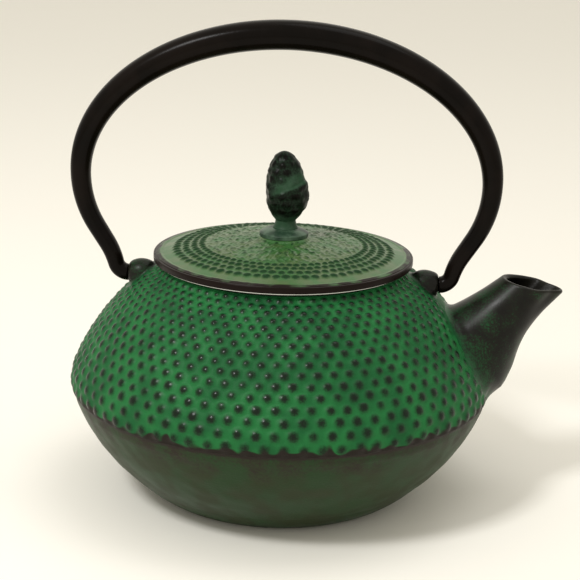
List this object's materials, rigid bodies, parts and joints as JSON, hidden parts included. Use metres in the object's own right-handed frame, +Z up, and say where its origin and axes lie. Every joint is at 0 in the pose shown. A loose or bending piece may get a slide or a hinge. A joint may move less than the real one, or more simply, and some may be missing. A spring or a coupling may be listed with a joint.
{
  "type": "cast iron teapot",
  "caption": "Low round cast iron teapot with a studded shoulder, a short spout, a swinging bail handle, a lift-off lid with a pine cone knob, and a steel tea basket in its mouth.",
  "frame": {"origin": "centre of the flat base, on the surface that the pot stands on", "axes": "+Z up along the pot's axis, +X towards the spout, bail hinge axis along X"},
  "size_m": [0.1905, 0.1642, 0.1835],
  "materials": {
    "green_cast_iron": "cast iron with worn green paint on the studded shoulder",
    "black_iron": "satin black iron",
    "lid_cast_iron": "cast iron with thin green paint and a dark edge",
    "knob_iron": "dark cast iron with green in the recesses",
    "basket_steel": "stainless sheet and woven wire"
  },
  "bodies": {
    "pot": {"pot_body": "green_cast_iron", "mouth_land": "green_cast_iron"},
    "bail": {"bail_handle": "black_iron"},
    "infuser": {"infuser_rim": "basket_steel", "infuser_wall": "basket_steel", "infuser_base": "basket_steel", "infuser_base_ring": "basket_steel"},
    "lid": {"lid": "lid_cast_iron", "lid_skirt": "lid_cast_iron", "knob": "knob_iron", "knob_seat": "knob_iron", "knob_washer": "black_iron"}
  },
  "joints": [
    {"name": "bail_swing", "type": "hinge", "parent": "pot", "child": "bail", "pos_m": [0, 0, 0.084], "axis": [1, 0, 0], "range_deg": [-108, 108]},
    {"name": "infuser_lift", "type": "slide", "parent": "pot", "child": "infuser", "axis": [0, 0, 1], "range_m": [0, 0.034]},
    {"name": "lid_lift", "type": "slide", "parent": "infuser", "child": "lid", "axis": [0, 0, 1], "range_m": [0, 0.034]}
  ]
}
